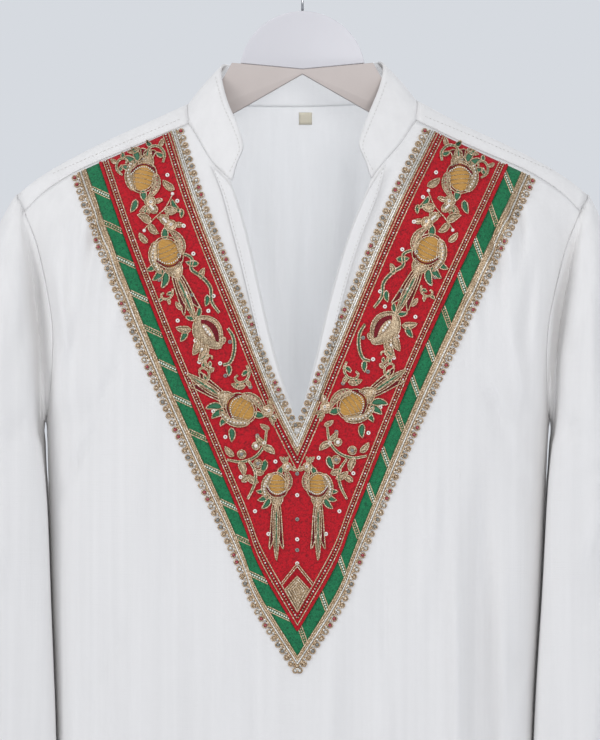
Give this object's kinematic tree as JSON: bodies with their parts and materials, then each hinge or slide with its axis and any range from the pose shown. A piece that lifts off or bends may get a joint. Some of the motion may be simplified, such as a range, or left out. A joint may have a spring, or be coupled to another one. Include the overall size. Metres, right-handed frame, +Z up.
{
  "type": "kurta on hanger",
  "caption": "Long-sleeved white cotton kurta with a stand collar, an open V neck and an embroidered red and green V yoke, on a flat hanger with a wire hook.",
  "frame": {"origin": "top of the inside of the hanger's hook, where it rests on a rail", "axes": "+Z up, the garment's front faces -Y, and the wearer's left is +X"},
  "size_m": [0.5718, 0.1198, 1.1023],
  "materials": {
    "white_cotton": "matt plain weave",
    "red_silk": "satin, covered with metal-thread embroidery",
    "green_silk": "satin with gold cord",
    "gold_lace": "metallic braid and beads",
    "label_tape": "matt tape, blank",
    "beige_board": "satin painted board",
    "pale_plastic": "satin",
    "steel_wire": "bright"
  },
  "bodies": {
    "root": {"front_panel": "white_cotton", "back_panel": "white_cotton", "sleeve_right": "white_cotton", "sleeve_left": "white_cotton", "collar": "white_cotton", "placket_right": "white_cotton", "placket_left": "white_cotton", "yoke_green": "green_silk", "yoke_red": "red_silk", "lace_outer_right": "gold_lace", "lace_outer_left": "gold_lace", "lace_inner_right": "gold_lace", "lace_inner_left": "gold_lace", "label": "label_tape", "hanger_board": "beige_board", "hanger_head": "pale_plastic", "hanger_hook": "steel_wire"}
  },
  "joints": []
}
